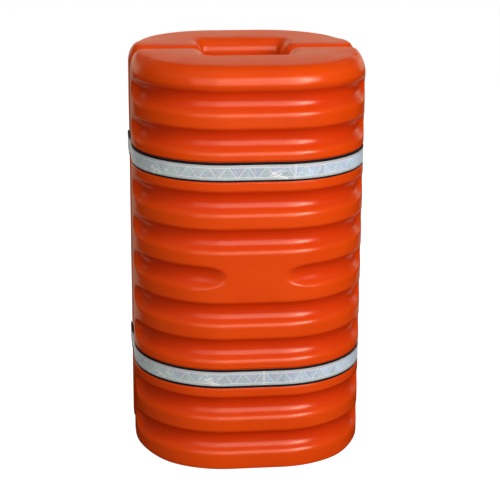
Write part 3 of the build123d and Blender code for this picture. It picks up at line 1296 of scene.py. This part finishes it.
def stitches(name: str, route: Route, height: float, rows: Sequence[float], out: float,
             length: float = 0.0036, pitch: float = 0.0048, radius: float = 0.00032) -> Piece:
    """Rows of stitches: short bowed threads that dip into the cloth at both ends.

    Args:
        name: the piece's name.
        route: line that the rows follow.
        height: height of the strip's middle.
        rows: distance of each row above that middle.
        out: distance of the cloth's face out of the route.
        length: length of a stitch.
        pitch: distance between stitches.
        radius: radius of the thread.

    Returns:
        The piece.
    """
    share = np.linspace(-1, 1, len(STITCH_GIRTH))
    sides = np.linspace(0, 2 * np.pi, STITCH_SIDES, endpoint=False)
    girth = radius * np.array(STITCH_GIRTH)
    rise = out + radius * np.array(STITCH_RISE)
    first = np.arange(pitch, route.length - pitch, pitch)
    points, outward = route.at(first[:, None] + share * length / 2)
    away = rise[:, None] + girth[:, None] * np.cos(sides)
    up = girth[:, None] * np.sin(sides)
    one = np.empty((len(first), len(share), len(sides), 3))
    one[..., :2] = points[:, :, None, :] + outward[:, :, None, :] * away[..., None]
    one[..., 2] = height + up
    grid = one[None] + np.array([[0.0, 0.0, row] for row in rows])[:, None, None, None, :]
    grid = grid.reshape(-1, len(share) * len(sides), 3)
    faces, row, column = lattice(len(share), len(sides))
    shift = np.arange(len(grid))[:, None, None] * grid.shape[1]
    places = np.stack((row * length / (len(share) - 1), column * radius), axis=-1)
    ring = np.arange(len(sides))
    caps = np.stack((ring, ring[::-1] + (len(share) - 1) * len(sides)))
    ends = (caps + shift).reshape(-1, len(sides))
    return Piece(name, grid.reshape(-1, 3), (faces + shift).reshape(-1, 4),
                 np.tile(places, (len(grid), 1, 1)), list(ends))


@dataclass(frozen=True)
class Wrinkles:
    """Small creases that stand up from a tape.

    Attributes:
        centres: places along the tape about which they gather.
        seed: start of the random draws.
        spread: how far from those places they lie.
        count: creases at each place.
        height: height of the tallest.
        half_width: half-width of a crease.
        flutter: height of the slight waves of the whole tape.
    """

    # Ranges of a crease's place across, its slant, its share of the height and its half-length.
    RANGES = ((-0.017, 0.004), (-0.4, 0.6), (0.35, 1.0), (0.004, 0.012))
    # Flutter: wave numbers along and across of its ripples, and wave number and phase of its slow swell.
    RIPPLE, SWELL = (310.0, 90.0), (97.0, 1.0)

    centres: tuple[float, ...]
    seed: int
    spread: float = 0.018
    count: int = 12
    height: float = CREASE_HEIGHT
    half_width: float = 0.0011
    flutter: float = 0.00006

    def __call__(self, along: np.ndarray, across: np.ndarray) -> np.ndarray:
        """Lift of the tape: each crease is a short ridge with a bell-shaped section.

        Args:
            along: distance along the tape.
            across: distance from its middle.

        Returns:
            Sum over the creases of height times two bells, along and across the crease, and a slight
            flutter of two crossed sine waves.
        """
        draw = np.random.default_rng(self.seed)
        total = len(self.centres) * self.count
        place = np.repeat(self.centres, self.count) + draw.normal(0, self.spread, total)
        side, slant, share, reach = [draw.uniform(*span, total) for span in self.RANGES]
        east, north = along[..., None] - place, across[..., None] - side
        line = east * np.cos(slant) + north * np.sin(slant)
        off = north * np.cos(slant) - east * np.sin(slant)
        ridges = share * self.height * np.exp(-(line / reach) ** 2 - (off / self.half_width) ** 2)
        ripple = np.sin(along * self.RIPPLE[0] + across * self.RIPPLE[1])
        swell = np.sin(along * self.SWELL[0] + self.SWELL[1])
        return ridges.sum(axis=-1) + self.flutter * (1 + ripple * swell)


@dataclass(frozen=True)
class Strap:
    """One strap: webbing round both halves, reflective tape, a peeling tail and its hook and loop.

    The tail goes on from the front length and laps over the end of the rear length, on the left. The pieces
    of the rear and of the lap are laid out on the front and reflected to the rear.

    Attributes:
        level: which strap.
        joint: place of the front tape's butt joint, from the front's middle.
        drop: how far below the webbing's middle the tape is sewn.
        starts: where the lattice starts on the left and the right front tape.
        wrinkled: places of creases on the left front tape, from its start.
        half: the moulding that it lies on.
    """

    # Width and thickness of webbing, tape and pads, and the points across each.
    WEBBING, WEBBING_POINTS = (0.0508, 0.0016), 15
    TAPE, TAPE_POINTS = (0.0381, 0.0004), 25
    PAD, PAD_POINTS = (0.046, 0.0011), 47
    # Steps along the rear length, the front length, the tapes and the pads.
    REAR_STEP, FRONT_STEP, TAPE_STEP, PAD_STEP = 0.003, 0.002, 0.0016, 0.001
    # Distances out of the skin: middle and outer face of the webbing, middles of the pads and the tail.
    WEBBING_MID, WEBBING_OUT = -0.0016, -0.0008
    LOOP_MID, HOOK_MID, TAIL_MID = -0.00025, 0.00115, 0.0025
    # Place of the hinges, and the depths between which the webbing bends at the swing and at the peel.
    HINGE_X = 0.3041
    SWING_BEND = (-0.012, 0.012)
    PEEL_BEND = (-0.024, -0.004)
    # Distances from the seam's middle plane: where the tail leaves the skin and lies flat again, where the
    # left tape, the rear length under the lap and the pads start, where the tapes end on the right, and
    # where the rear length ends on the front.
    TAIL_ROOT, TAIL_FLAT = 0.0136, 0.020
    TAPE_ROOT, LAPPED_END = 0.0154, 0.024
    LOOP_START, HOOK_START = 0.027, 0.030
    BARE_END = 0.058
    OVERLAP_Y = 0.050
    # Start of the tail's tape on the tail, and half of the gap at the butt joint.
    TAIL_TAPE_START = 0.0010
    BUTT_GAP = 0.0003
    # Corner angles at which the tail, the rear tape and the pads end, in degrees.
    WRAP_TAIL, WRAP_TAPE, WRAP_LOOP, WRAP_HOOK = 2.0, 2.4, 1.6, 1.0
    # Distance of the stitching from the tape's middle, and the first seed of the creases.
    SEWN_ROW = 0.0172
    FIRST_SEED = 25

    level: Level
    joint: float
    drop: float
    starts: tuple[float, float]
    wrinkled: tuple[float, ...]
    half: MouldedHalf = MouldedHalf()

    @property
    def name(self) -> str:
        """Name of the strap, which starts the names of its pieces."""
        return self.level.name.lower()

    @property
    def tail_body(self) -> str:
        """Body that the tail moves with."""
        return f"{self.name}_tail"

    @property
    def root(self) -> float:
        """Station at which the tail leaves the skin."""
        return 4 * self.quarter - self.TAIL_ROOT

    @property
    def quarter(self) -> float:
        """Distance along the skin from the seam's middle plane to the middle of the front."""
        return self.half.side_start - self.half.corner_y

    def ring(self) -> Route:
        """Closed line of the strap on the skin, from the left of the seam's middle plane over the front."""
        side, corner = Move(-self.half.corner_y), bend(self.half.corner_r, 90)
        flat = Move(2 * self.half.front_flat)
        both = Move(2 * side.length)
        moves = [side, corner, flat, corner, both, corner, flat, corner, side]
        return Route((-self.half.half_width, 0.0), -math.pi / 2, moves)

    def corner(self, degrees: float) -> float:
        """Station on the front's left corner, an angle past the straight side."""
        return -self.half.corner_y + self.half.corner_r * math.radians(degrees)

    def tail_moves(self) -> list[Move]:
        """Moves of the tail: it steps out over the other end, lies along the side and meets the corner."""
        step = self.TAIL_MID - self.WEBBING_MID
        run = self.TAIL_ROOT + self.TAIL_FLAT
        swing = 2 * math.degrees(math.atan2(step, run))
        radius = (step ** 2 + run ** 2) / (4 * step)
        return [bend(radius, -swing), bend(radius, swing), Move(-self.half.corner_y - self.TAIL_FLAT),
                bend(self.half.corner_r + self.TAIL_MID, self.WRAP_TAIL)]

    def lay_webbing(self, ring: Route, finishes: dict[str, bpy.types.Material]) -> None:
        """Lay the rear length and the front length.

        Args:
            ring: line of the strap on the skin.
            finishes: materials by name.
        """
        middle = self.level.value
        profile = flat_section(*self.WEBBING, self.WEBBING_POINTS)
        meeting = 2 * self.quarter + self.OVERLAP_Y

        route = ring.part(self.LAPPED_END, meeting, self.WEBBING_MID)
        piece = ribbon(f"{self.name}_rear_length", route, middle, profile, self.REAR_STEP)
        item = piece.mirrored().build(finishes["webbing"], "webbing")
        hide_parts(f"{self.name}_rear_webbing", f"{self.name}_front_webbing")
        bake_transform(item)

        route = ring.part(meeting, self.root, self.WEBBING_MID, self.tail_moves())
        piece = ribbon(f"{self.name}_front_length", route, middle, profile, self.FRONT_STEP,
                       start=route.length)
        item = piece.mirrored().build(finishes["webbing"], "webbing")
        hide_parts(f"{self.name}_front_webbing", f"{self.name}_closing_tail")
        self.tail_body
        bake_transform(item)

    def sew_tapes(self, ring: Route, finishes: dict[str, bpy.types.Material]) -> None:
        """Sew the tapes on the webbing.

        Args:
            ring: line of the strap on the skin.
            finishes: materials by name.
        """
        skin = self.WEBBING_OUT + self.TAPE[1] / 2
        cloth = (self.WEBBING[1] + self.TAPE[1]) / 2
        joint, side = self.quarter + self.joint, 2 * self.quarter - self.BARE_END
        left = ring.part(self.TAPE_ROOT, joint - self.BUTT_GAP, skin)
        right = ring.part(joint + self.BUTT_GAP, side, skin)
        rear = ring.part(self.corner(self.WRAP_TAPE), side, skin)
        tail = ring.part(self.root, self.root, self.WEBBING_MID, self.tail_moves())
        lapped = tail.part(self.TAIL_TAPE_START, tail.length, cloth)
        lengths = (
            ("front_tape_left", "front_half", left, self.starts[0], self.wrinkled),
            ("front_tape_right", "front_half", right, self.starts[1], ()),
            ("rear_tape", "rear_half", rear, 0.0, ()),
            ("tail_tape", self.tail_body, lapped, 0.0, ()),
        )
        middle = self.level.value - self.drop
        profile = flat_section(*self.TAPE, self.TAPE_POINTS)
        rows = (self.SEWN_ROW, -self.SEWN_ROW)
        for number, (name, body, route, start, places) in enumerate(lengths):
            creases = Wrinkles(places, self.FIRST_SEED + number)
            face = ribbon(f"{self.name}_{name}_face", route, middle, profile, self.TAPE_STEP,
                          creases, start)
            thread = stitches(f"{self.name}_{name}_stitching", route, middle, rows, self.TAPE[1] / 2)
            if body != "front_half":
                face, thread = face.mirrored(), thread.mirrored()
            item = face.build(finishes["tape"], "reflective_tape")
            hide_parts(f"{self.name}_{name}")
            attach(item, body)
            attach(thread.build(finishes["thread"], "webbing"), body)

    def fix_pads(self, ring: Route, finishes: dict[str, bpy.types.Material]) -> None:
        """Fix the loop pad on the rear length and the hook pad under the tail.

        Args:
            ring: line of the strap on the skin.
            finishes: materials by name.
        """
        profile = flat_section(*self.PAD, self.PAD_POINTS)
        loop = ring.part(self.LOOP_START, self.corner(self.WRAP_LOOP), self.LOOP_MID)
        hook = ring.part(self.HOOK_START, self.corner(self.WRAP_HOOK), self.HOOK_MID)
        pads = (
            ("loop_pad", "rear_half", loop, "loop", "loop_pile"),
            ("hook_pad", self.tail_body, hook, "hook", "hook_sheet"),
        )
        for name, body, route, finish, slot in pads:
            piece = ribbon(f"{self.name}_{name}_face", route, self.level.value, profile, self.PAD_STEP)
            item = piece.mirrored().build(finishes[finish], slot)
            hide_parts(f"{self.name}_{name}")
            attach(item, body)

    def build(self, finishes: dict[str, bpy.types.Material]) -> None:
        """Build and dress every piece of the strap, and set its tapes, stitching and pads on their bodies.

        Args:
            finishes: materials by name.
        """
        ring = self.ring()
        self.lay_webbing(ring, finishes)
        self.sew_tapes(ring, finishes)
        self.fix_pads(ring, finishes)


@dataclass(frozen=True)
class Softbox:
    """Flat soft light that faces the middle of the object.

    Attributes:
        name: its name.
        azimuth: its direction, in degrees to the right of the front.
        elevation: its direction above the level, in degrees.
        distance: how far away it stands.
        size: its width and height.
        power: its power in watts.
        mirrored: whether glossy surfaces show it.
    """

    AIM = Vector((0.0, 0.0, 0.55))

    name: str
    azimuth: float
    elevation: float
    distance: float
    size: tuple[float, float]
    power: float
    mirrored: bool = True

    def build(self) -> None:
        """Set the light."""
        azimuth, elevation = math.radians(self.azimuth), math.radians(self.elevation)
        level = self.distance * math.cos(elevation)
        away = Vector((level * math.sin(azimuth), -level * math.cos(azimuth),
                       self.distance * math.sin(elevation)))
        data = bpy.data.lights.new(self.name, "AREA")
        data.shape = "RECTANGLE"
        data.size, data.size_y = self.size
        data.energy = self.power
        item = bpy.data.objects.new(self.name, data)
        item.location = self.AIM + away
        item.rotation_euler = (-away).to_track_quat("-Z", "Y").to_euler()
        item.visible_glossy = self.mirrored
        bpy.context.scene.collection.objects.link(item)


@dataclass(frozen=True)
class Studio:
    """White studio: floor, soft lights and the camera.

    Attributes:
        camera_at: place of the camera.
        turn: how far the camera is swung round the object, in radians.
        pitch: how far it looks down, in radians.
        roll: how far it leans, in radians.
        lens: focal length in millimetres.
        fill: strength of the surroundings as light.
        dim: strength of the surroundings in front, as reflections show them.
        pale: the same behind the object.
        floor_reach: half of the floor's width.
        floor_glow: strength of the floor's own white, as the camera sees it.
        floor_shine: strength of the floor behind the object, as reflections show it.
        warmth: tone of the floor and the surroundings, as reflections show them.
    """

    WHITE, BLACK = rgb(1, 1, 1), rgb(0, 0, 0)
    # Width of the camera's sensor in millimetres, and how far it sees.
    SENSOR = 36.0
    FAR = 100.0
    # Directions, in depth and in height, between which the surroundings behind the object set in.
    BEHIND = (0.60, 0.80)
    LOW = (0.32, 0.15)
    # The floor: its height, just under the feet, its greys, their patches to the metre, and the sweep that
    # reflections show behind the object: where it sets in, its edges, and how they spread with the depth.
    FLOOR_Z = -0.0004
    FLOOR_GREYS = (rgb(0.31, 0.31, 0.31), rgb(0.33, 0.33, 0.33))
    FLOOR_PATCHES = 3.0
    SWEEP_BACK = (0.40, 0.65)
    SWEEP_EDGE = (0.90, 0.70)
    SWEEP_SPREAD = 0.45

    camera_at: tuple[float, float, float] = (-0.4336, -4.0303, 1.7350)
    turn: float = 0.1114
    pitch: float = 0.2946
    roll: float = 0.0067
    lens: float = 111.60
    fill: float = 0.12
    dim: float = 0.02
    pale: float = 0.70
    floor_reach: float = 14.0
    floor_glow: float = 0.95
    floor_shine: float = 0.35
    warmth: Colour = rgb(1.0, 0.86, 0.62)

    LIGHTS = (
        Softbox("key_left", -24.0, 22.0, 4.8, (3.0, 3.3), 39.0),
        Softbox("key_middle", 2.0, 22.0, 4.8, (2.1, 3.3), 52.0),
        Softbox("key_right", 24.0, 22.0, 4.8, (1.6, 3.3), 61.0),
        Softbox("glint", 38.0, 24.0, 4.7, (1.3, 1.7), 74.0),
        Softbox("left_high", -65.0, 43.0, 4.5, (3.2, 3.2), 19.0, False),
        Softbox("right_fill", 85.0, 35.0, 4.5, (2.4, 2.4), 17.0, False),
        Softbox("top", -20.0, 74.0, 3.4, (1.6, 1.6), 10.0, False),
        Softbox("rear_left", -158.0, 30.0, 4.0, (2.0, 2.0), 60.0, False),
        Softbox("rear_right", 158.0, 30.0, 4.0, (2.0, 2.0), 60.0, False),
    )

    def camera(self) -> None:
        """Set the camera."""
        data = bpy.data.cameras.new("camera")
        data.sensor_width = self.SENSOR
        data.lens = self.lens
        data.clip_end = self.FAR
        item = bpy.data.objects.new("camera", data)
        item.matrix_world = (Matrix.Translation(self.camera_at) @ Matrix.Rotation(-self.turn, 4, "Z")
                             @ Matrix.Rotation(math.pi / 2 - self.pitch, 4, "X")
                             @ Matrix.Rotation(self.roll, 4, "Z"))
        bpy.context.scene.collection.objects.link(item)
        bpy.context.scene.camera = item

    @staticmethod
    def rays(bench: Bench) -> tuple[Term, Term]:
        """Marks of rays straight or through glass to the camera, and of rays off a glossy surface."""
        path = bench.add("ShaderNodeLightPath")
        kinds = [Term(bench, bench.socket(path.outputs, key))
                 for key in ("Is Camera Ray", "Is Glossy Ray", "Is Transmission Ray")]
        return kinds[0].larger(kinds[2]), kinds[1]

    def world(self) -> None:
        """White surroundings, dim in front for reflections, and a plain fill."""
        world = bpy.data.worlds.new("studio")
        bpy.context.scene.world = world
        world.use_nodes = True
        bench = Bench(world.node_tree)
        seen, glossy = self.rays(bench)
        _, back, up = bench.axes(bench.term("ShaderNodeTexCoord", output="Generated"))
        shown = self.dim + (self.pale - self.dim) * (back.rise(*self.BEHIND) * up.rise(*self.LOW))
        strength = seen.larger(glossy * shown) + (1 - seen.larger(glossy)) * self.fill
        tone = bench.blend(glossy, self.WHITE, self.warmth)
        sky = bench.term("ShaderNodeBackground", None, {"Color": tone, "Strength": strength}, "Background")
        bench.add("ShaderNodeOutputWorld", None, {"Surface": sky})

    def floor_material(self) -> bpy.types.Material:
        """White for the camera, a pale sweep for reflections, and grey paper that takes the shadow."""
        material, bench = new_bench("floor")
        seen, glossy = self.rays(bench)
        point = bench.place()
        across, back, _ = bench.axes(point)
        outside = abs(across) - back * self.SWEEP_SPREAD
        sweep = back.rise(*self.SWEEP_BACK) * outside.rise(*self.SWEEP_EDGE)
        colour = bench.blend(bench.noise(point, self.FLOOR_PATCHES), *self.FLOOR_GREYS)
        colour = bench.blend(glossy, colour, self.BLACK)
        paper = bench.term("ShaderNodeBsdfDiffuse", None, {"Color": colour}, "BSDF")
        strength = seen * self.floor_glow + glossy * sweep * self.floor_shine
        tone = bench.blend(glossy, self.WHITE, self.warmth)
        glow = bench.term("ShaderNodeEmission", None, {"Color": tone, "Strength": strength}, "Emission")
        both = bench.add("ShaderNodeAddShader")
        bench.feed(both.inputs[0], paper)
        bench.feed(both.inputs[1], glow)
        bench.add("ShaderNodeOutputMaterial", None, {"Surface": Term(bench, both.outputs[0])})
        return material

    def floor(self) -> None:
        """Wide white floor that keeps the object's shadow."""
        reach = self.floor_reach
        corners = ((-reach, -reach), (reach, -reach), (reach, reach), (-reach, reach))
        mesh = bpy.data.meshes.new("floor")
        mesh.from_pydata([(*corner, self.FLOOR_Z) for corner in corners], [], [(0, 1, 2, 3)])
        mesh.materials.append(self.floor_material())
        item = bpy.data.objects.new("floor", mesh)
        bpy.context.scene.collection.objects.link(item)

    def build(self) -> None:
        """Set the whole studio."""
        bpy.context.scene.view_settings.view_transform = "Standard"
        self.camera()
        self.world()
        self.floor()
        for light in self.LIGHTS:
            light.build()


def main() -> None:
    """Load the frame, build the studio and the object."""
    logging.basicConfig(level=logging.INFO, format="%(name)s: %(message)s")
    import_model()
    Studio().build()
    finishes = {
        "shell": MouldedPlastic().material(),
        "webbing": WovenWebbing().material(),
        "tape": PrismaticTape().material(),
        "loop": LoopPile().material(),
        "hook": HookSheet().material(),
        "thread": SewingThread().material(),
    }
    moulding = MouldedHalf()
    for half in Half:
        name = half.name.lower()
        item = moulding.piece(half).build(finishes["shell"], "moulded_shell")
        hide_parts(f"{name}_shell")
        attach(item, f"{name}_half")
    straps = (
        Strap(Level.UPPER, joint=0.095, drop=0.0012, starts=(-0.0093, -0.003), wrinkled=(0.226, 0.555)),
        Strap(Level.LOWER, joint=0.020, drop=0.0, starts=(-0.002, 0.022), wrinkled=(0.236, 0.385)),
    )
    for strap in straps:
        strap.build(finishes)


if __name__ == "__main__":
    main()
